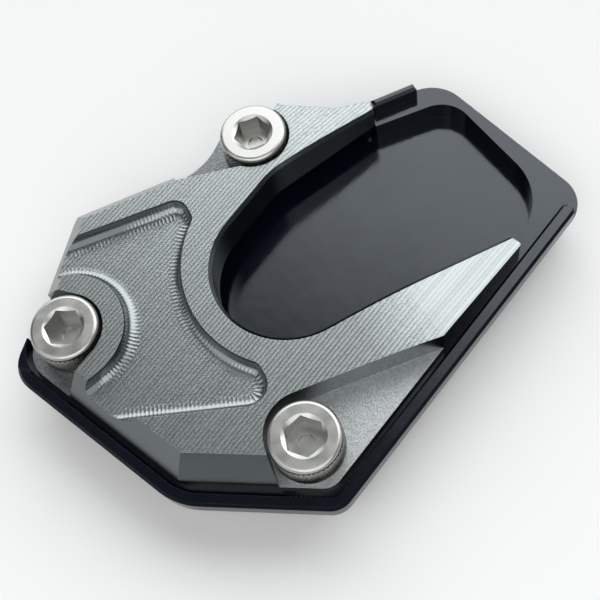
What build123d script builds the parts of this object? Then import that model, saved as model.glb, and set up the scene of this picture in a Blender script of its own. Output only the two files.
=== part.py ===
"""Foot enlarger for a motorcycle side stand: a base plate, a clamp plate and three cap screws.

Millimetres, +Z up. The origin is the centre of the footprint, on the ground face of the base plate.
The stand's foot lies in the base plate's pocket, and its leg passes through the clamp plate's U.
"""
from build123d import *
import os
from math import asin, atan, atan2, cos, degrees, radians, sin, sqrt, tan

# Heights and thicknesses
base_thickness = 7.2        # ground face to the flat that carries the clamp plate
pocket_depth = 3.5
rim_height = 2.5            # above the flat
clamp_thickness = 6.1
seat_web = 1.0              # metal left under the screw heads
recess_depth = 2.0

# Base plate
rim_width = 2.05
upper_rail_width = 1.3
rim_chamfer = 0.4
bevel_height = 7.0          # sloped lower part of the outer wall
bevel_inset = 3.0
pocket_lip = 2.5            # the pocket runs this far under the clamp plate

# Gaps between the clamp plate and the rim
fit_gap = 0.6               # along the lower left wall, and the least anywhere
bottom_gap = 1.2            # along the bottom wall
right_gap = 1.05            # along the right wall
slanted_gap = 1.0           # at the left corner, to the base plate's slanted side

# Clamp plate
edge_chamfer_run = 3.0
edge_chamfer_drop = 3.7
slot_chamfer = 0.5
recess_fillet = 1.6         # left by a ball-nosed cutter
boss_radius = 8.5
slot_radius = 11.15         # rounded end of the U
slot_flank_angle = 24.0
slot_flank_length = 10.2
slot_bend_round = 12.0      # between the flank and the upper prong
lower_prong_length = 43.4   # along the right wall
lower_tip_width = 2.05
prong_slope = 0.17          # fall of the prongs' tops for each mm towards the tips
prong_slope_start = 9.57
prong_blend_radius = 70.0   # where the slope begins
tip_radius = 0.4

# Screws: M6 socket heads
screw_diameter = 6.0
screw_length = 8.0
head_diameter = 10.0
head_height = 6.0
head_chamfer = 0.6
hex_across_flats = 5.0
hex_depth = 3.0
mouth_diameter = 6.2        # countersink at the mouth of the socket
mouth_depth = 0.3
centre_mark_diameter = 2.3
centre_mark_depth = 0.35
tip_chamfer = 0.7
seat_clearance = 0.45       # round the head
shank_clearance = 0.3       # round the shank, in the clamp plate
thread_clearance = 0.05     # round the shank, in the tapped holes

# Corners of the base plate's outline, anticlockwise from the lowest one, and their radii
lower_x, lower_y, lower_round = -11.28, -31.11, 3.5
right_x, right_y, right_round = 42.47, -9.42, 5.2
upper_right_x, upper_right_y, upper_right_round = 35.54, 20.21, 6.0
waist_x, waist_y, waist_round = 17.07, 22.59, 8.0
shoulder_x, shoulder_y, shoulder_round = 11.61, 26.41, 1.0
hollow_x, hollow_y, hollow_round = -3.53, 25.76, 11.0
upper_left_x, upper_left_y, upper_left_round = -23.84, 28.45, 3.0
left_x, left_y, left_round = -42.53, 10.39, 5.0
bottom_left_x, bottom_left_y, bottom_left_round = -30.04, -19.04, 10.0

# Screw axes, how their sockets came to stand, and the lobe of the outline round the top screw
top_screw_x, top_screw_y, top_socket_angle = 5.27, 23.81, 48.0
right_screw_x, right_screw_y, right_socket_angle = -10.77, -21.07, 11.0
left_screw_x, left_screw_y, left_socket_angle = -32.31, 10.43, 29.0
lobe_radius = 6.8
lobe_entry_angle = 38.0     # direction of the outline on to the lobe
lobe_exit_angle = -60.0     # and off it

# Corners that belong to the clamp plate alone
clamp_corner_round = 3.0
clamp_waist_x, clamp_waist_y, clamp_waist_round = 18.47, 21.89, 6.0
upper_tip_outer_x, upper_tip_outer_y = 23.52, 20.88
upper_tip_inner_x, upper_tip_inner_y = 23.12, 18.73
slot_x, slot_y = -0.38, 2.23

# Right end of the pocket
pocket_upper_x, pocket_upper_y, pocket_upper_round = 35.29, 16.43, 5.0
pocket_lower_x, pocket_lower_round = 38.52, 9.5
pocket_start_x, pocket_start_y = 21.57, 18.79

# Ends of the rim
upper_rail_end_x = 31.12
left_rail_gap = 1.3         # full width ends this far from the left corner, along the slanted side
left_tail_length = 4.5      # and the thin tail, this far on

# Recess of the clamp plate: a curved wall round the U, an end wall each side, and the walls that leave them
recess_radius = 16.75
recess_shift_x, recess_shift_y = 1.55, 0.5      # the curved wall is not quite concentric with the U
recess_top_x, recess_top_wall, recess_top_round = -8.73, 4.22, 2.4
recess_top_angle = 170.3
recess_bottom_x, recess_bottom_wall, recess_bottom_round = -11.13, 6.62, 3.0
recess_bottom_angle = 155.1
recess_neck_round = 1.8

# Boss round the left screw, and the open sides of the other two seats
boss_side_angle = 191.5     # direction of its straight lower side
right_step_gap = 1.0        # from the right screw's seat to the step along it
right_step_angle, right_side_angle = 170.7, 78.7
right_step_round = 6.0
top_step_start_x, top_step_start_y = -8.08, 23.43
top_step_end_x, top_step_end_y = 4.67, 18.99
top_seat_angle = 28.0       # the prong starts here, seen from the top screw

# Points, levels and sizes that follow from these
lower_corner = Vector(lower_x, lower_y)
right_corner = Vector(right_x, right_y)
upper_right_corner = Vector(upper_right_x, upper_right_y)
upper_left_corner = Vector(upper_left_x, upper_left_y)
left_corner = Vector(left_x, left_y)
bottom_left_corner = Vector(bottom_left_x, bottom_left_y)
hollow_corner = Vector(hollow_x, hollow_y)
upper_tip_outer = Vector(upper_tip_outer_x, upper_tip_outer_y)
upper_tip_inner = Vector(upper_tip_inner_x, upper_tip_inner_y)
slot_centre = Vector(slot_x, slot_y)
recess_centre = slot_centre + Vector(recess_shift_x, recess_shift_y)
top_screw = Vector(top_screw_x, top_screw_y)
right_screw = Vector(right_screw_x, right_screw_y)
left_screw = Vector(left_screw_x, left_screw_y)
screw_axes = [top_screw, right_screw, left_screw]
socket_angles = [top_socket_angle, right_socket_angle, left_socket_angle]
seat_level = base_thickness + seat_web
clamp_top = base_thickness + clamp_thickness
seat_radius = head_diameter / 2 + seat_clearance
beyond = 20.0               # how far cutters reach past the plates
on_wall = 0.01              # a point this near a wall lies on it


def polar(radius, angle):
    """Vector in plan of this length, at this angle from +X in degrees."""
    return Vector(radius * cos(radians(angle)), radius * sin(radians(angle)))


def inset_corner(before, corner, after, inset_in, inset_out):
    """Corner of an anticlockwise outline whose two edges move inwards by their own distances."""
    along_in = (corner - before).normalized()
    along_out = (after - corner).normalized()
    turn = along_in.cross(along_out).Z
    return corner + (along_out * inset_in - along_in * inset_out) / turn


# The lobe's corner is where the tangents at its two ends meet
lobe_half_turn = (lobe_entry_angle - lobe_exit_angle) / 2
lobe_middle = (lobe_entry_angle + lobe_exit_angle) / 2 + 90
lobe_corner = top_screw + polar(lobe_radius / cos(radians(lobe_half_turn)), lobe_middle)

upper_side = [
    (Vector(shoulder_x, shoulder_y), shoulder_round),
    (lobe_corner, lobe_radius),
    (hollow_corner, hollow_round),
    (upper_left_corner, upper_left_round),
]
base_corners = [
    (lower_corner, lower_round),
    (right_corner, right_round),
    (upper_right_corner, upper_right_round),
    (Vector(waist_x, waist_y), waist_round),
    *upper_side,
    (left_corner, left_round),
    (bottom_left_corner, bottom_left_round),
]

# The clamp plate is flush with the base plate along the upper side, and lies inside the rim elsewhere
left_inset = rim_width + fit_gap
bottom_inset = rim_width + bottom_gap
right_inset = rim_width + right_gap
clamp_lower = inset_corner(bottom_left_corner, lower_corner, right_corner, bottom_inset, right_inset)
clamp_left = inset_corner(upper_left_corner, left_corner, bottom_left_corner, slanted_gap, left_inset)
clamp_bottom_left = inset_corner(left_corner, bottom_left_corner, lower_corner, left_inset, bottom_inset)
right_wall = (right_corner - lower_corner).normalized()
wall_inwards = Vector(-right_wall.Y, right_wall.X)
lower_tip_outer = clamp_lower + right_wall * lower_prong_length
lower_tip_inner = lower_tip_outer + wall_inwards * lower_tip_width
clamp_corners = [
    (clamp_lower, clamp_corner_round),
    (lower_tip_outer, tip_radius),
    (lower_tip_inner, 0),
    (upper_tip_inner, 0),
    (upper_tip_outer, tip_radius),
    (Vector(clamp_waist_x, clamp_waist_y), clamp_waist_round),
    *upper_side,
    (clamp_left, left_round),
    (clamp_bottom_left, clamp_corner_round),
]


def rounded(corners):
    """Closed outline through the corners, each rounded by its own radius."""
    points = [corner for corner, _ in corners]
    radii = [radius for _, radius in corners]
    return FilletPolyline(*points, radius=radii, close=True)


# The U's lower wall leaves its rounded end at a tangent and meets the lower prong's tip
to_lower_tip = lower_tip_inner - slot_centre
lower_wall_angle = degrees(atan2(to_lower_tip.Y, to_lower_tip.X) + asin(slot_radius / to_lower_tip.length))


def slot_line(growth):
    """Closed outline of the U, grown outwards all round, and open past the prongs' tips."""
    radius = slot_radius + growth
    arc_start = 90 + slot_flank_angle
    arc_end = 270 + lower_wall_angle
    flank_start = slot_centre + polar(radius, arc_start)
    flank_end = flank_start + polar(slot_flank_length, slot_flank_angle)
    flare = (upper_tip_inner - (flank_end - polar(growth, arc_start))).normalized()
    mouth_top = flank_end + flare * (upper_right_x - flank_end.X)
    lower_wall_start = slot_centre + polar(radius, arc_end)
    mouth_bottom = lower_wall_start + polar(upper_right_x + beyond, lower_wall_angle)
    CenterArc(slot_centre, radius, arc_start, arc_end - arc_start)
    corners = [lower_wall_start, mouth_bottom, mouth_top, flank_end, flank_start]
    FilletPolyline(*corners, radius=[0, 0, slot_bend_round])


with BuildSketch() as base_outline:
    with BuildLine():
        rounded(base_corners)
    make_face()

with BuildSketch() as slot_outline:
    with BuildLine():
        slot_line(0)
    make_face()

with BuildSketch() as clamp_outline:
    with BuildLine():
        rounded(clamp_corners)
    make_face()
    add(slot_outline.sketch, mode=Mode.SUBTRACT)

# The pocket follows the U under the clamp plate, wider by the lip, and widens to its own right end
with BuildSketch() as pocket_outline:
    with BuildLine():
        slot_line(pocket_lip)
    make_face()
    with Locations((upper_tip_inner_x, slot_y)):
        Rectangle(beyond * 3, beyond * 4, align=(Align.MIN, Align.CENTER), mode=Mode.SUBTRACT)
    with BuildLine():
        FilletPolyline(
            slot_centre,
            Vector(slot_x, lower_tip_inner.Y),
            Vector(pocket_lower_x, lower_tip_inner.Y),
            Vector(pocket_upper_x, pocket_upper_y),
            Vector(pocket_start_x, pocket_start_y),
            radius=[0, 0, pocket_lower_round, pocket_upper_round, 0],
            close=True,
        )
    make_face()

# The rim is a band along the outline, cut back where the clamp plate comes near the edge. It is open at the
# right end and behind the upper prong, and narrows to a thin tail at the slanted upper left side.
right_turn = right_wall.get_angle(upper_right_corner - right_corner)
right_rail_end = right_corner - right_wall * right_round * tan(radians(right_turn / 2))
slanted_side = (left_corner - upper_left_corner).normalized()
slanted_inwards = Vector(-slanted_side.Y, slanted_side.X)
left_rail_end = left_corner - slanted_side * left_rail_gap
left_tail_end = left_rail_end - slanted_side * left_tail_length
upper_rail_start_x = upper_tip_outer_x + fit_gap

with BuildSketch() as inside_upper_rail:
    offset(base_outline.sketch, amount=-upper_rail_width)
    with Locations((upper_rail_start_x, slot_y)):
        Rectangle(beyond, beyond * 2, align=(Align.MIN, Align.MIN), mode=Mode.INTERSECT)

with BuildSketch() as rim_band:
    add(base_outline.sketch)
    offset(base_outline.sketch, amount=-rim_width, mode=Mode.SUBTRACT)
    offset(clamp_outline.sketch, amount=fit_gap, mode=Mode.SUBTRACT)
    add(inside_upper_rail.sketch, mode=Mode.SUBTRACT)
    with Locations((upper_rail_start_x, slot_y)):
        Rectangle(beyond, beyond * 2, align=(Align.MAX, Align.MIN), mode=Mode.SUBTRACT)
    with BuildLine():
        Polyline(
            Vector(upper_rail_end_x, upper_right_y + beyond),
            Vector(upper_rail_end_x, slot_y),
            right_rail_end + wall_inwards * rim_width * 2,
            right_rail_end - wall_inwards * rim_width * 2,
            right_corner + Vector(beyond, 0),
            upper_right_corner + Vector(beyond, beyond),
            close=True,
        )
    make_face(mode=Mode.SUBTRACT)
    with Locations(right_rail_end + wall_inwards * (rim_width / 2)):
        Circle(rim_width / 2)

with BuildSketch() as tail_area:
    with BuildLine():
        Polyline(
            left_rail_end - slanted_inwards * rim_width * 2,
            left_rail_end + slanted_inwards * rim_width * 2,
            left_tail_end + slanted_inwards * rim_width * 2,
            left_tail_end - slanted_inwards * rim_width * 2,
            close=True,
        )
    make_face()

with BuildSketch() as rim_outline:
    add(rim_band.sketch)
    with BuildLine():
        Polyline(
            left_rail_end - slanted_inwards * rim_width * 2,
            left_rail_end + slanted_inwards * rim_width * 2,
            slot_centre,
            upper_left_corner + Vector(0, beyond),
            close=True,
        )
    make_face(mode=Mode.SUBTRACT)

with BuildSketch() as rim_tail:
    add(rim_band.sketch)
    add(tail_area.sketch, mode=Mode.INTERSECT)

with BuildPart() as base_plate:
    with BuildSketch(Plane.XY.offset(bevel_height)):
        add(base_outline.sketch)
    extrude(amount=base_thickness - bevel_height)
    with BuildSketch(Plane.XY.offset(bevel_height)):
        add(base_outline.sketch)
    extrude(amount=-bevel_height, taper=degrees(atan(bevel_inset / bevel_height)))
    with BuildSketch(Plane.XY.offset(base_thickness)):
        add(rim_outline.sketch)
    extrude(amount=rim_height)
    rim_tops = base_plate.faces().filter_by(Axis.Z).group_by(Axis.Z)[-1]
    chamfer(rim_tops.edges(), length=rim_chamfer)
    with BuildSketch(Plane.XY.offset(base_thickness)):
        add(rim_tail.sketch)
    extrude(amount=rim_height - rim_chamfer)
    with BuildSketch(Plane.XY.offset(base_thickness)):
        add(pocket_outline.sketch)
    extrude(amount=-pocket_depth, mode=Mode.SUBTRACT)
    with Locations(*[axis + Vector(0, 0, base_thickness) for axis in screw_axes]):
        Hole(radius=screw_diameter / 2 + thread_clearance)


def recess_neck(x, side):
    """Point of the recess's curved wall at this X, above or below the U."""
    reach = recess_centre.X - x
    return Vector(x, recess_centre.Y + side * sqrt(recess_radius ** 2 - reach ** 2))


# Where the recess's curved wall ends, and its corners, an end wall's length away
top_neck = recess_neck(recess_top_x, 1)
bottom_neck = recess_neck(recess_bottom_x, -1)
recess_top_corner = top_neck + Vector(0, recess_top_wall)
recess_bottom_corner = bottom_neck - Vector(0, recess_bottom_wall)
recess_rounds = [
    (recess_top_corner, recess_top_round),
    (recess_bottom_corner, recess_bottom_round),
    (top_neck, recess_neck_round),
    (bottom_neck, recess_neck_round),
]

# Cutter for the recessed field: the boss stands in it, and the cutter's nose rounds the foot of its walls
with BuildPart() as recess:
    with BuildSketch(Plane.XY.offset(clamp_top - recess_depth)) as recess_outline:
        with BuildLine():
            Polyline(
                recess_top_corner,
                recess_top_corner + polar(beyond * 2, recess_top_angle),
                left_corner - Vector(beyond, 0),
                recess_bottom_corner + polar(beyond * 2, recess_bottom_angle),
                recess_bottom_corner,
                Vector(recess_bottom_x, recess_centre.Y),
                Vector(recess_top_x, recess_centre.Y),
                close=True,
            )
        make_face()
        with Locations(recess_centre):
            Circle(recess_radius, mode=Mode.SUBTRACT)
        for corner, radius in recess_rounds:
            fillet(recess_outline.vertices().sort_by_distance(corner)[0], radius)
        with Locations(left_screw):
            Circle(boss_radius, mode=Mode.SUBTRACT)
        boss_touch = left_screw + polar(boss_radius, boss_side_angle + 90)
        with BuildLine():
            Polyline(
                left_screw,
                boss_touch,
                boss_touch + polar(beyond * 2, boss_side_angle),
                left_screw - Vector(beyond * 2, 0),
                close=True,
            )
        make_face(mode=Mode.SUBTRACT)
    extrude(amount=recess_depth + beyond)
    fillet(recess.faces().sort_by(Axis.Z)[0].edges(), radius=recess_fillet)

# The right seat's step and side run past the head, each at its own distance from the screw's axis
step_touch = right_screw + polar(seat_radius + right_step_gap, right_step_angle - 90)
side_touch = right_screw + polar(seat_radius, right_side_angle + 90)
step_along = polar(1, right_step_angle)
side_along = polar(1, right_side_angle)
step_reach = (side_touch - step_touch).cross(side_along).Z / step_along.cross(side_along).Z
right_step_corner = step_touch + step_along * step_reach

# Cutter for the three screw seats: round the heads, and open to the plate's edge
left_side = (bottom_left_corner - left_corner).normalized()
left_outwards = Vector(left_side.Y, -left_side.X)
with BuildSketch(Plane.XY.offset(seat_level)) as seats:
    with Locations(*screw_axes):
        Circle(seat_radius)
    with BuildLine():
        FilletPolyline(
            right_step_corner - step_along * beyond * 2,
            right_step_corner,
            right_step_corner - side_along * beyond * 2,
            radius=right_step_round,
        )
        Line(right_step_corner - side_along * beyond * 2, right_step_corner - step_along * beyond * 2)
    make_face()
    with BuildLine():
        Polyline(
            Vector(top_step_start_x, top_step_start_y),
            Vector(top_step_end_x, top_step_end_y),
            top_screw,
            top_screw + polar(beyond, top_seat_angle),
            lobe_corner + Vector(0, beyond),
            Vector(top_step_start_x, upper_left_y + beyond),
            close=True,
        )
    make_face()
    with BuildLine():
        Polyline(
            left_screw - slanted_side * seat_radius,
            left_screw - slanted_side * seat_radius - slanted_inwards * beyond,
            left_screw + left_side * seat_radius + left_outwards * beyond,
            left_screw + left_side * seat_radius,
            close=True,
        )
    make_face()


def is_slot_top(edge):
    """Whether an edge of the clamp plate runs along the top of the U's wall."""
    middle = edge @ 0.5
    wall = slot_outline.face().outer_wire()
    above_seat = min((edge @ 0).Z, (edge @ 1).Z) > seat_level
    return above_seat and wall.distance_to(Vector(middle.X, middle.Y, 0)) < on_wall


# Outer edges of the clamp plate with the wide chamfer
wide_edges = [
    (clamp_lower, clamp_bottom_left),
    (clamp_bottom_left, clamp_left),
    (clamp_left, upper_left_corner),
    (upper_left_corner, hollow_corner),
]

with BuildPart() as clamp_plate:
    with BuildSketch(Plane.XY.offset(base_thickness)):
        add(clamp_outline.sketch)
    extrude(amount=clamp_thickness)
    with BuildSketch(Plane.XZ.offset(-upper_right_y - beyond)):
        with BuildLine():
            fall = degrees(atan(prong_slope))
            blend_start = prong_slope_start - prong_blend_radius * tan(radians(fall / 2))
            blend = JernArc((blend_start, clamp_top), (1, 0), prong_blend_radius, -fall)
            slope_end = prong_slope_start + beyond * 2
            Polyline(
                blend @ 1,
                (slope_end, clamp_top - prong_slope * beyond * 2),
                (slope_end, clamp_top),
                (blend_start, clamp_top),
            )
        make_face()
    extrude(amount=beyond * 5, mode=Mode.SUBTRACT)
    chamfer(clamp_plate.edges().filter_by(is_slot_top), length=slot_chamfer)
    for start, end in wide_edges:
        along = (end - start).normalized()
        outwards = Vector(-along.Y, along.X)
        foot = Vector(start.X, start.Y, clamp_top - edge_chamfer_drop)
        overrun = edge_chamfer_run * 2
        with BuildSketch(Plane(foot - along * overrun, x_dir=outwards, z_dir=along)):
            with BuildLine():
                Polyline(
                    (0, 0),
                    (beyond, 0),
                    (beyond, beyond),
                    (-edge_chamfer_run, beyond),
                    (-edge_chamfer_run, edge_chamfer_drop),
                    close=True,
                )
            make_face()
        extrude(amount=(end - start).length + overrun * 2, mode=Mode.SUBTRACT)
    add(recess.part, mode=Mode.SUBTRACT)
    add(seats.sketch)
    extrude(amount=clamp_thickness, mode=Mode.SUBTRACT)
    with Locations(*[axis + Vector(0, 0, clamp_top) for axis in screw_axes]):
        Hole(radius=screw_diameter / 2 + shank_clearance)

# Cap screws: head and shank, with the socket, its countersunk mouth and the mark on its floor cut into the head
head_top = seat_level + head_height
with BuildPart() as clamp_screws:
    for axis, socket_angle in zip(screw_axes, socket_angles):
        with BuildSketch(Plane((axis.X, axis.Y, seat_level))):
            Circle(head_diameter / 2)
        extrude(amount=head_height)
        with BuildSketch(Plane((axis.X, axis.Y, seat_level))):
            Circle(screw_diameter / 2)
        extrude(amount=-screw_length)
    rings = clamp_screws.edges().filter_by(GeomType.CIRCLE)
    chamfer(rings.group_by(Axis.Z)[-1], length=head_chamfer)
    chamfer(rings.group_by(Axis.Z)[0], length=tip_chamfer)
    for axis, socket_angle in zip(screw_axes, socket_angles):
        with BuildSketch(Plane((axis.X, axis.Y, head_top))):
            RegularPolygon(hex_across_flats / 2, 6, major_radius=False, rotation=socket_angle)
        extrude(amount=-hex_depth, mode=Mode.SUBTRACT)
        with Locations((axis.X, axis.Y, head_top)):
            Cone(
                hex_across_flats / 2,
                mouth_diameter / 2,
                mouth_depth,
                align=(Align.CENTER, Align.CENTER, Align.MAX),
                mode=Mode.SUBTRACT,
            )
        with BuildSketch(Plane((axis.X, axis.Y, head_top - hex_depth))):
            Circle(centre_mark_diameter / 2)
        extrude(amount=-centre_mark_depth, mode=Mode.SUBTRACT)

base_plate.part.label = "base_plate"
clamp_plate.part.label = "clamp_plate"
clamp_screws.part.label = "clamp_screws"
os.makedirs("parts", exist_ok=True)
for piece in (base_plate, clamp_plate, clamp_screws):
    export_step(piece.part, f"parts/{piece.part.label}.step")
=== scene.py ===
"""Looks of the kickstand foot enlarger: finishes, cutter marks, knurled heads, floor, light and camera.

Metres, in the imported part's frame: +Z up, with the origin under the middle of the footprint.
"""
import math

import bmesh
import bpy
from mathutils import Matrix, Vector
from mathutils.bvhtree import BVHTree


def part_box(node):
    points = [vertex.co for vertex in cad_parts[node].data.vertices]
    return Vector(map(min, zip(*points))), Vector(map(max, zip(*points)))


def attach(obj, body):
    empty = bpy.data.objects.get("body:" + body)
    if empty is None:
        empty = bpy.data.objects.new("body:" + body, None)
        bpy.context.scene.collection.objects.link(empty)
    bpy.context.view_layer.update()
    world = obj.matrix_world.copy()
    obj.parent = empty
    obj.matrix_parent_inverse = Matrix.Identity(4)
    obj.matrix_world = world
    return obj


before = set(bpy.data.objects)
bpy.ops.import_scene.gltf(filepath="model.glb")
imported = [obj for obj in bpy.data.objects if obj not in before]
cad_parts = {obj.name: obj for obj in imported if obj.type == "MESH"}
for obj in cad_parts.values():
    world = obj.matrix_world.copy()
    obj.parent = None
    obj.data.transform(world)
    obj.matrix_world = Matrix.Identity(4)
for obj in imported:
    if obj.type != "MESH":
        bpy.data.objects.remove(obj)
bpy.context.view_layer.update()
scene = bpy.context.scene
scene.view_settings.view_transform = "Standard"
MM = 0.001

# Sizes of the solids that the added pieces and the finishes follow
POCKET_LEVEL = 3.7 * MM
BEVEL_HEIGHT = 7.0 * MM
RECESS_DEPTH = 2.0 * MM
RECESS_FILLET = 1.6 * MM
SEAT_LEVEL = 8.2 * MM
HEAD_RADIUS = 5.0 * MM
HEAD_CHAMFER = 0.6 * MM
UPPER_PRONG_X = 7.9 * MM  # the upper prong is all that lies beyond both of these
UPPER_PRONG_Y = 12.0 * MM
CLAMP_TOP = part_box("clamp_plate")[1].z
HEAD_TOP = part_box("clamp_screws")[1].z

CLEAR = 0.005 * MM  # keeps an added face off the solid's own
WELD = 0.0005 * MM  # joins the facets' doubled points
MASK_EDGE = 0.1 * MM  # width over which one finish gives way to the next

# Mill marks: direction from +X in degrees, and distance from pass to pass
BODY_MARKS = 22, 0.56 * MM
UPPER_PRONG_MARKS = 17, 0.56 * MM
BASE_MARKS = 22, 0.8 * MM

# Z of the normal where a face begins to count as flat, and where it does in full
FLAT = 0.95, 0.98


def put(tree, kind, inputs=None, **settings):
    """Adds a shader node; its inputs take values or other nodes' sockets."""
    node = tree.nodes.new("ShaderNode" + kind)
    for name, value in settings.items():
        setattr(node, name, value)
    for key, value in (inputs or {}).items():
        if isinstance(value, bpy.types.NodeSocket):
            tree.links.new(value, node.inputs[key])
        else:
            node.inputs[key].default_value = value
    return node


def maths(tree, operation, first, second=0.0):
    return put(tree, "Math", {0: first, 1: second}, operation=operation).outputs[0]


def remap(tree, value, low, high, to_low=0.0, to_high=1.0):
    """Smooth change from to_low to to_high while the value goes from low to high."""
    limits = {"Value": value, "From Min": low, "From Max": high, "To Min": to_low, "To Max": to_high}
    return put(tree, "MapRange", limits, interpolation_type="SMOOTHSTEP").outputs["Result"]


def blend(tree, factor, first, second):
    return put(tree, "Mix", {0: factor, 2: first, 3: second}, data_type="FLOAT").outputs[0]


def colours(tree, factor, first, second):
    """Colour between two, each of them a triple or another node's socket."""
    ends = [end if isinstance(end, bpy.types.NodeSocket) else (*end, 1) for end in (first, second)]
    return put(tree, "Mix", {0: factor, 6: ends[0], 7: ends[1]}, data_type="RGBA").outputs[2]


def new_material(name):
    """A material with its principled shader, and its shading point in the part's frame."""
    material = bpy.data.materials.new(name)
    material.use_nodes = True
    tree = material.node_tree
    shader = tree.nodes["Principled BSDF"]
    place = put(tree, "TexCoord").outputs["Object"]
    return material, tree, shader, place


def turned(tree, place, angle):
    """The place, turned so that X runs along lines at this angle from the part's +X."""
    mapping = put(tree, "Mapping", {"Vector": place, "Rotation": (0, 0, math.radians(-angle))})
    return mapping.outputs[0]


def passes(tree, place, angle, pitch):
    """Height and tone of the parallel marks of a mill: a cusp between passes, and a shade for each."""
    across = put(tree, "SeparateXYZ", {0: turned(tree, place, angle)}).outputs["Y"]
    count = maths(tree, "DIVIDE", across, pitch)
    from_middle = maths(tree, "SUBTRACT", maths(tree, "FRACT", count), 0.5)
    cusp = maths(tree, "MULTIPLY", maths(tree, "MULTIPLY", from_middle, from_middle), 4.0)
    number = maths(tree, "FLOOR", count)
    tone = put(tree, "TexWhiteNoise", {"W": number}, noise_dimensions="1D").outputs["Value"]
    return cusp, tone


def spots(tree, place, scale):
    """Fine noise over the whole range from 0 to 1."""
    noise = put(tree, "TexNoise", {"Vector": place, "Scale": scale, "Detail": 2.0}).outputs["Fac"]
    return remap(tree, noise, 0.3, 0.7)


def upward(tree):
    """Z of the true normal: 1 on level faces, 0 on upright walls."""
    return put(tree, "SeparateXYZ", {0: put(tree, "NewGeometry").outputs["True Normal"]}).outputs["Z"]


def rounded_normal(tree, radius):
    """Normal that softens the edges, as a deburred edge is."""
    return put(tree, "Bevel", {"Radius": radius}, samples=6).outputs[0]


def grey_anodised():
    """The clamp plate: mill marks on its flats, smooth chamfers and walls painted darker as shade, bare
    speckled seats.
    """
    material, tree, shader, place = new_material("grey_anodised")
    spot = put(tree, "SeparateXYZ", {0: place})
    facing = upward(tree)

    # Masks: seats, the other flats, the upper prong, and the lower prong's slope with its faint marks
    flat = remap(tree, facing, *FLAT)
    seat_limit = SEAT_LEVEL + 0.5 * MM
    low_floor = remap(tree, spot.outputs["Z"], seat_limit + MASK_EDGE, seat_limit - MASK_EDGE)
    seat = maths(tree, "MULTIPLY", flat, low_floor)
    milled = maths(tree, "SUBTRACT", flat, seat)
    past_screw = remap(tree, spot.outputs["X"], UPPER_PRONG_X, UPPER_PRONG_X + MASK_EDGE)
    far_side = remap(tree, spot.outputs["Y"], UPPER_PRONG_Y, UPPER_PRONG_Y + MASK_EDGE)
    upper_prong = maths(tree, "MULTIPLY", past_screw, far_side)
    sloped = remap(tree, facing, 0.998, 0.990)
    lower_slope = maths(tree, "MULTIPLY", sloped, maths(tree, "SUBTRACT", 1.0, upper_prong))
    faint = maths(tree, "MULTIPLY", lower_slope, milled)

    # Colour of the anodised faces: dark lines between the passes, a tone for each pass, fine grain
    body_cusp, body_tone = passes(tree, place, *BODY_MARKS)
    prong_cusp, prong_tone = passes(tree, place, *UPPER_PRONG_MARKS)
    cusp = blend(tree, upper_prong, body_cusp, prong_cusp)
    tone = blend(tree, upper_prong, body_tone, prong_tone)
    grain = spots(tree, place, 5200.0)
    line_depth = blend(tree, faint, blend(tree, upper_prong, -0.7, -1.0), -0.4)
    groove = maths(tree, "MULTIPLY", remap(tree, cusp, 0.5, 0.95), line_depth)
    lines = maths(tree, "ADD", maths(tree, "MULTIPLY", tone, 0.2), groove)
    grains = maths(tree, "MULTIPLY", grain, blend(tree, faint, 0.8, 0.2))
    base_shade = blend(tree, faint, 0.32, 0.62)
    milled_shade = maths(tree, "ADD", maths(tree, "ADD", grains, lines), base_shade)
    scallop = put(tree, "Attribute", attribute_name="scallop").outputs["Fac"]
    # Painted shade: walls and chamfers take a darker colour than the flats, as light falls on them; the
    # scallop band is painted less dark
    shade = blend(tree, milled, maths(tree, "MULTIPLY", scallop, 0.6), milled_shade)
    anodised = colours(tree, shade, (0.15, 0.167, 0.167), (0.42, 0.452, 0.449))

    # Colour of the seats: bare speckled metal, with painted light and shade: the near seat is painted paler
    # and the far ones darker
    speckle = spots(tree, place, 4200.0)
    near_side = remap(tree, spot.outputs["Y"], MASK_EDGE, 0.0)
    near_seat_painted_light = maths(tree, "ADD", maths(tree, "MULTIPLY", speckle, 0.26), 0.44)
    seat_speckle_and_painted_light = blend(tree, near_side, maths(tree, "MULTIPLY", speckle, 0.2), near_seat_painted_light)
    bare = colours(tree, seat_speckle_and_painted_light, (0.16, 0.175, 0.18), (0.88, 0.91, 0.91))
    tree.links.new(colours(tree, seat, anodised, bare), shader.inputs["Base Color"])
    tree.links.new(blend(tree, flat, 0.22, blend(tree, seat, 0.30, 0.42)), shader.inputs["Roughness"])
    shader.inputs["Metallic"].default_value = 1.0

    # Relief: softened edges, then the cusps, then grain on the flats and dots on the seats
    edges = rounded_normal(tree, 0.08 * MM)
    ridges = maths(tree, "MULTIPLY", cusp, blend(tree, faint, milled, 0.35))
    marks = put(tree, "Bump", {"Height": ridges, "Distance": 0.032 * MM, "Normal": edges}).outputs[0]
    dots = maths(tree, "MULTIPLY", speckle, maths(tree, "MULTIPLY", seat, 0.5))
    grained = blend(tree, maths(tree, "SUBTRACT", flat, faint), 0.06, 0.25)
    fine = maths(tree, "ADD", maths(tree, "MULTIPLY", grain, grained), dots)
    surface = put(tree, "Bump", {"Height": fine, "Distance": 0.030 * MM, "Normal": marks}).outputs[0]
    tree.links.new(surface, shader.inputs["Normal"])
    return material


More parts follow.
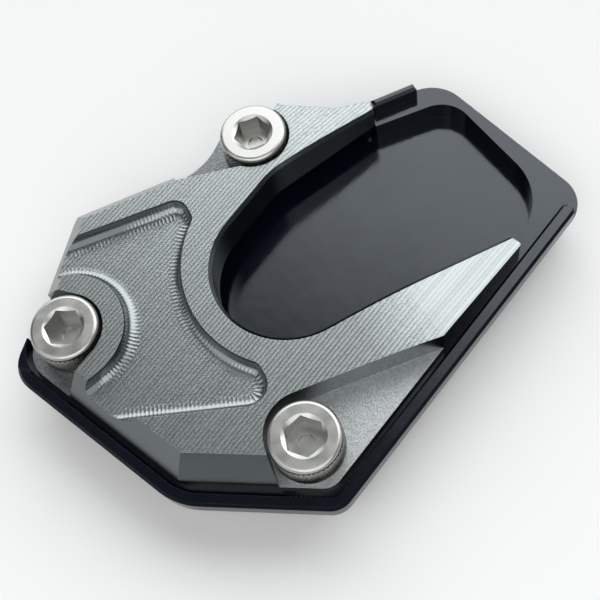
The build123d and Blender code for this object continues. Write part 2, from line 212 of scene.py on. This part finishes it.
def black_anodised():
    """The base plate: glossy, a little wavy, with a weaker gloss on its walls than on its flats."""
    material, tree, shader, place = new_material("black_anodised")
    cusp, tone = passes(tree, place, *BASE_MARKS)
    flat = remap(tree, upward(tree), *FLAT)
    cloud = put(tree, "TexNoise", {"Vector": place, "Scale": 90.0, "Detail": 4.0}).outputs["Fac"]
    grain = spots(tree, place, 6000.0)
    tint = colours(tree, cloud, (0.0010, 0.0022, 0.0062), (0.0022, 0.0042, 0.0098))
    tree.links.new(tint, shader.inputs["Base Color"])
    smudge = maths(tree, "ADD", maths(tree, "MULTIPLY", cloud, 0.8), maths(tree, "MULTIPLY", tone, 0.2))
    tree.links.new(remap(tree, smudge, 0.3, 0.7, 0.09, 0.15), shader.inputs["Roughness"])
    tree.links.new(blend(tree, flat, 0.2, 0.5), shader.inputs["Specular IOR Level"])
    shader.inputs["Specular Tint"].default_value = (0.87, 0.93, 1.0, 1.0)
    shader.inputs["IOR"].default_value = 1.70
    edges = rounded_normal(tree, 0.03 * MM)
    waves = put(tree, "Bump", {"Height": cloud, "Distance": 0.08 * MM, "Normal": edges}).outputs[0]
    marks = put(tree, "Bump", {"Height": cusp, "Distance": 0.0012 * MM, "Normal": waves}).outputs[0]
    surface = put(tree, "Bump", {"Height": grain, "Distance": 0.0015 * MM, "Normal": marks}).outputs[0]
    tree.links.new(surface, shader.inputs["Normal"])
    return material


def stainless():
    """The screws: pale on top, with painted shade that darkens the knurled sides and the sockets' walls."""
    material, tree, shader, place = new_material("stainless")
    cloud = put(tree, "TexNoise", {"Vector": place, "Scale": 420.0, "Detail": 3.0}).outputs["Fac"]
    grain = spots(tree, place, 4200.0)
    # Painted shade: faces that turn away from level take the darker colour, the tops the paler one
    level = remap(tree, upward(tree), 0.2, 0.8)
    tops = colours(tree, cloud, (0.50, 0.505, 0.48), (0.68, 0.68, 0.655))
    tint = colours(tree, level, (0.27, 0.265, 0.25), tops)
    tree.links.new(tint, shader.inputs["Base Color"])
    tree.links.new(remap(tree, cloud, 0.3, 0.7, 0.27, 0.36), shader.inputs["Roughness"])
    shader.inputs["Metallic"].default_value = 1.0
    edges = rounded_normal(tree, 0.03 * MM)
    surface = put(tree, "Bump", {"Height": grain, "Distance": 0.002 * MM, "Normal": edges}).outputs[0]
    tree.links.new(surface, shader.inputs["Normal"])
    return material


def pale_floor():
    """A plain, nearly white floor with a faint cloudiness."""
    material, tree, shader, place = new_material("pale_floor")
    cloud = put(tree, "TexNoise", {"Vector": place, "Scale": 14.0, "Detail": 3.0}).outputs["Fac"]
    tint = colours(tree, cloud, (0.95, 0.95, 0.945), (0.97, 0.97, 0.97))
    tree.links.new(tint, shader.inputs["Base Color"])
    shader.inputs["Roughness"].default_value = 0.7
    shader.inputs["Specular IOR Level"].default_value = 0.2
    return material


finishes = {"grey_anodised": grey_anodised(), "black_anodised": black_anodised(), "stainless": stainless()}
node_slots = {"clamp_plate": "grey_anodised", "base_plate": "black_anodised", "clamp_screws": "stainless"}
for node_name, slot_name in node_slots.items():
    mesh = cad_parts[node_name].data
    mesh.materials.clear()
    mesh.materials.append(finishes[slot_name])


def add_piece(name, bm, slot_name, smooth_angle=None):
    """A new piece of the object from a bmesh, with the finish of its slot."""
    mesh = bpy.data.meshes.new(name)
    bmesh.ops.recalc_face_normals(bm, faces=bm.faces)
    bm.to_mesh(mesh)
    bm.free()
    piece = bpy.data.objects.new(name, mesh)
    scene.collection.objects.link(piece)
    mesh.materials.append(finishes[slot_name])
    if smooth_angle is not None:
        mesh.shade_smooth()
        mesh.set_sharp_from_angle(angle=math.radians(smooth_angle))
    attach(piece, "root")
    return piece


def wall_chains(bm, level):
    """Runs of the floor's edges from which a wall rises, each a list of points in order."""
    near = 0.01 * MM
    floor = {f for f in bm.faces
             if f.normal.z > 0.999 and abs(f.calc_center_median().z - level) < near}
    follows = {}
    for edge in bm.edges:
        inside = [f for f in edge.link_faces if f in floor]
        outside = [f for f in edge.link_faces if f not in floor]
        if len(inside) != 1 or not outside:
            continue
        if max(v.co.z for v in outside[0].verts) < level + near:
            continue
        loop = next(lp for lp in inside[0].loops if lp.edge == edge)
        follows[loop.vert] = loop.link_loop_next.vert
    starts = [v for v in follows if v not in follows.values()]
    chains = []
    for vert in starts:
        chain = [vert.co.copy()]
        while vert in follows:
            vert = follows[vert]
            chain.append(vert.co.copy())
        chains.append(chain)
    return chains


def resampled(points, step):
    """Points and directions at equal steps along a chain; the directions turn smoothly."""
    lengths = [(b - a).length for a, b in zip(points, points[1:])]
    directions = [(b - a).normalized() for a, b in zip(points, points[1:])]
    turns = [(a + b).normalized() for a, b in zip(directions, directions[1:])]
    corners = [directions[0], *turns, directions[-1]]
    samples, at, segment, done = [], 0.0, 0, 0.0
    while at < sum(lengths):
        while at - done > lengths[segment]:
            done += lengths[segment]
            segment += 1
        share = (at - done) / lengths[segment]
        along = corners[segment].lerp(corners[segment + 1], share).normalized()
        samples.append((points[segment].lerp(points[segment + 1], share), along))
        at += step
    return samples


def wall_path(point, along, lead, last_angle):
    """Places and normals from the recess's floor, at the lead from its wall, up the wall's rounded foot."""
    up = Vector((0, 0, 1))
    out = along.cross(up)
    lead_steps, arc_steps = 4, 9
    path = [(point - out * lead * (1 - i / lead_steps), up) for i in range(lead_steps)]
    for i in range(arc_steps + 1):
        angle = math.radians(last_angle) * i / arc_steps
        normal = up * math.cos(angle) - out * math.sin(angle)
        path.append((point + (up - normal) * RECESS_FILLET, normal))
    return path


def add_scallops(bm, surface, chain, pitch, height, lead):
    """Band of hollow scallops with a cusp between each two, as far up the wall as the plate goes."""
    per_pitch = 8
    highest, lowest, step_down = 86, 26, 4  # degrees up the wall's rounded foot
    off_surface = 0.06 * MM  # a path further from the plate than this hangs over its edge
    sink, lift, border = 0.05 * MM, 0.012 * MM, 0.006 * MM
    paths = []
    for point, along in resampled(chain, pitch / per_pitch):
        for last_angle in range(highest, lowest - 1, -step_down):
            path = wall_path(point, along, lead, last_angle)
            if max(surface.find_nearest(foot)[3] for foot, _ in path) < off_surface:
                paths.append(path)
                break
    last = len(paths) - 1
    fade_length = 3 * per_pitch
    loops = []
    for n, path in enumerate(paths):
        cusp = (2 * (n / per_pitch % 1) - 1) ** 2
        end_fade = min(1, n / fade_length, (last - n) / fade_length)
        uneven = 0.6 + 0.25 * math.sin(n / 37) + 0.15 * math.sin(n / 11 + 1)
        top, bottom = [], []
        for i, (foot, normal) in enumerate(path):
            swell = abs(math.sin(math.pi * i / (len(path) - 1))) ** 0.6
            rise = (height * cusp * uneven * end_fade + lift) * swell - border
            top.append(bm.verts.new(foot + normal * rise))
            bottom.append(bm.verts.new(foot - normal * sink))
        loops.append(top + bottom[::-1])
    for near, far in zip(loops, loops[1:]):
        for i in range(len(near)):
            j = (i + 1) % len(near)
            bm.faces.new((near[i], near[j], far[j], far[i]))
    bm.faces.new(loops[0])
    bm.faces.new(loops[-1])


def recess_scallops():
    """Cusps that a ball-nosed cutter left between its passes: long along the walls, fine on the boss."""
    source = bmesh.new()
    source.from_mesh(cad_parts["clamp_plate"].data)
    bmesh.ops.remove_doubles(source, verts=source.verts, dist=WELD)
    *boss_chains, wall_chain = sorted(wall_chains(source, CLAMP_TOP - RECESS_DEPTH), key=len)
    surface = BVHTree.FromBMesh(source)
    source.free()
    bm = bmesh.new()
    pitch = 0.58 * MM
    add_scallops(bm, surface, wall_chain, pitch, height=0.058 * MM, lead=0.9 * MM)
    for chain in boss_chains:
        add_scallops(bm, surface, chain, pitch, height=0.045 * MM, lead=0.5 * MM)
    mesh = add_piece("recess_scallops", bm, "grey_anodised", smooth_angle=32).data
    is_scallop = mesh.attributes.new("scallop", "FLOAT", "POINT")
    is_scallop.data.foreach_set("value", [1.0] * len(mesh.vertices))


def pocket_web():
    """Thin web where the pocket comes out through the base plate's sloped side, flush with that side."""
    thickness, margin = 0.5 * MM, 0.1 * MM
    base = bmesh.new()
    base.from_mesh(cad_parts["base_plate"].data)
    bmesh.ops.remove_doubles(base, verts=base.verts, dist=WELD)
    sloped = {f for f in base.faces if -0.6 < f.normal.z < -0.2}
    follows = {}
    for edge in base.edges:
        beside = [f for f in edge.link_faces if f in sloped]
        low, high = sorted(v.co.z for v in edge.verts)
        if len(beside) == 1 and POCKET_LEVEL - margin < low and high < BEVEL_HEIGHT - margin:
            loop = next(lp for lp in beside[0].loops if lp.edge == edge)
            follows[loop.vert] = loop.link_loop_next.vert
    bm = bmesh.new()
    vert = min(follows, key=lambda v: v.co[:])
    outer = []
    for _ in follows:
        outer.append(bm.verts.new(vert.co))
        vert = follows[vert]
    base.free()
    side = bm.faces.new(outer)
    side.normal_update()
    inwards = side.normal * math.copysign(thickness, side.normal.z)
    inner = [bm.verts.new(v.co + inwards) for v in outer]
    bm.faces.new(inner)
    for i in range(len(outer)):
        j = (i + 1) % len(outer)
        bm.faces.new((outer[i], outer[j], inner[j], inner[i]))
    add_piece("pocket_web", bm, "black_anodised")


def screw_axes():
    """Middle of each screw in plan, from the node's separate solids."""
    bm = bmesh.new()
    bm.from_mesh(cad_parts["clamp_screws"].data)
    bmesh.ops.remove_doubles(bm, verts=bm.verts, dist=WELD)
    left, axes = set(bm.verts), []
    while left:
        found, edge_of_search = set(), [min(left, key=lambda v: v.index)]
        while edge_of_search:
            vert = edge_of_search.pop()
            if vert not in found:
                found.add(vert)
                edge_of_search += [e.other_vert(vert) for e in vert.link_edges]
        left -= found
        xs, ys = [v.co.x for v in found], [v.co.y for v in found]
        axes.append(Vector(((min(xs) + max(xs)) / 2, (min(ys) + max(ys)) / 2, 0)))
    bm.free()
    return axes


def knurl(name, axis, teeth, rows_per_tooth, points_per_tooth):
    """Band of diamond knurling round a screw head's side, and the head's rounded upper edge."""
    low, high = SEAT_LEVEL + 0.5 * MM, HEAD_TOP - HEAD_CHAMFER - 0.15 * MM
    valley, peak, inner = HEAD_RADIUS + CLEAR, HEAD_RADIUS + 0.16 * MM, HEAD_RADIUS - 0.2 * MM
    around = teeth * points_per_tooth
    tooth = 2 * math.pi * HEAD_RADIUS / teeth
    rows = round((high - low) / tooth * rows_per_tooth)
    bm = bmesh.new()

    def triangle(value):
        return 1 - abs(2 * (value % 1) - 1)

    def ring(radii, z):
        turns = [2 * math.pi * i / around for i in range(around)]
        places = [Vector((r * math.cos(turn), r * math.sin(turn), z)) for r, turn in zip(radii, turns)]
        return [bm.verts.new(axis + place) for place in places]

    def plain_ring(radius, z):
        return ring([radius] * around, z)

    rings = [plain_ring(inner, low)]
    for row in range(rows + 1):
        rise = row / rows_per_tooth
        fade = min(1, row / 2, (rows - row) / 2)
        leads = [i / points_per_tooth for i in range(around)]
        crests = [min(triangle(lead + rise), triangle(lead - rise)) for lead in leads]
        radii = [valley + (peak - valley) * fade * crest for crest in crests]
        rings.append(ring(radii, low + (high - low) * row / rows))
    edge_radius = HEAD_CHAMFER + CLEAR
    for angle in range(0, 91, 15):
        reach = HEAD_RADIUS - HEAD_CHAMFER + edge_radius * math.cos(math.radians(angle))
        rise = edge_radius * math.sin(math.radians(angle)) - HEAD_CHAMFER
        rings.append(plain_ring(reach, HEAD_TOP + rise))
    rings.append(plain_ring(inner - HEAD_CHAMFER, HEAD_TOP - 0.1 * MM))
    for below, above in zip(rings, rings[1:] + rings[:1]):
        for i in range(around):
            j = (i + 1) % around
            bm.faces.new((below[i], below[j], above[j], above[i]))
    add_piece(name, bm, "stainless", smooth_angle=25)


pocket_web()
recess_scallops()
for number, axis in enumerate(screw_axes(), 1):
    knurl(f"knurl_{number}", axis, teeth=46, rows_per_tooth=6, points_per_tooth=6)

# Floor, lamps, surroundings and camera
FLOOR_HALF = 3.0
floor_mesh = bpy.data.meshes.new("floor")
corners = [(x * FLOOR_HALF, y * FLOOR_HALF, 0) for x, y in ((-1, -1), (1, -1), (1, 1), (-1, 1))]
floor_mesh.from_pydata(corners, [], [(0, 1, 2, 3)])
floor_mesh.materials.append(pale_floor())
floor = bpy.data.objects.new("floor", floor_mesh)
scene.collection.objects.link(floor)


def direction(azimuth, elevation):
    """Unit vector; azimuth from +X towards +Y, in degrees."""
    a, e = math.radians(azimuth), math.radians(elevation)
    return Vector((math.cos(a) * math.cos(e), math.sin(a) * math.cos(e), math.sin(e)))


def softbox(name, towards, distance, half_angle, brightness):
    """Round soft lamp that looks this wide from the object, and this bright beside a white of 1."""
    radius = distance * math.tan(math.radians(half_angle))
    data = bpy.data.lights.new(name, "AREA")
    data.shape = "DISK"
    data.size = radius * 2
    data.energy = brightness * math.pi * math.pi * radius ** 2
    lamp = bpy.data.objects.new(name, data)
    lamp.location = towards * distance
    lamp.rotation_euler = towards.to_track_quat("Z", "Y").to_euler()
    lamp.visible_camera = False
    scene.collection.objects.link(lamp)


LAMP_DISTANCE = 1.5
softbox("left_fill", direction(185, 45), LAMP_DISTANCE, half_angle=28, brightness=0.8)
softbox("front_fill", direction(256, 50), LAMP_DISTANCE, half_angle=32, brightness=1.3)

# A wide bright opening behind the right side, and a dim room elsewhere, paler near the horizon
world = bpy.data.worlds.new("studio")
scene.world = world
world.use_nodes = True
sky = world.node_tree
towards = put(sky, "SeparateXYZ", {0: put(sky, "TexCoord").outputs["Generated"]})
slant = maths(sky, "MULTIPLY", maths(sky, "SUBTRACT", towards.outputs["Y"], 0.40), 0.8)
right = remap(sky, maths(sky, "ADD", towards.outputs["X"], slant), -0.12, 0.36, 0.0, 2.3)
behind = remap(sky, towards.outputs["Y"], -0.45, 0.0)
overhead = remap(sky, towards.outputs["Z"], 0.90, 0.985, 1.0, 0.5)
raised = remap(sky, towards.outputs["Z"], 0.20, 0.45)
sideways = maths(sky, "MULTIPLY", right, behind)
window = maths(sky, "MULTIPLY", sideways, maths(sky, "MULTIPLY", overhead, raised))
room = remap(sky, towards.outputs["Z"], 0.05, 0.35, 0.40, 0.08)
sky.links.new(maths(sky, "MAXIMUM", window, room), sky.nodes["Background"].inputs["Strength"])
sky.nodes["Background"].inputs["Color"].default_value = (0.97, 0.99, 1.0, 1.0)

CAMERA_PLACE = Vector((-14.69, -61.46, 142.01)) * MM
CAMERA_RIGHT = Vector((0.8673, -0.4807, -0.1294)).normalized()
CAMERA_UP = Vector((0.4895, 0.7759, 0.3981)).normalized()
camera_data = bpy.data.cameras.new("camera")
camera_data.sensor_width = 36.0
camera_data.lens = 61.44
camera_data.clip_start = 0.01
camera = bpy.data.objects.new("camera", camera_data)
back = CAMERA_RIGHT.cross(CAMERA_UP)
turn = Matrix((CAMERA_RIGHT, CAMERA_UP, back)).transposed()
camera.matrix_world = Matrix.Translation(CAMERA_PLACE) @ turn.to_4x4()
scene.collection.objects.link(camera)
scene.camera = camera
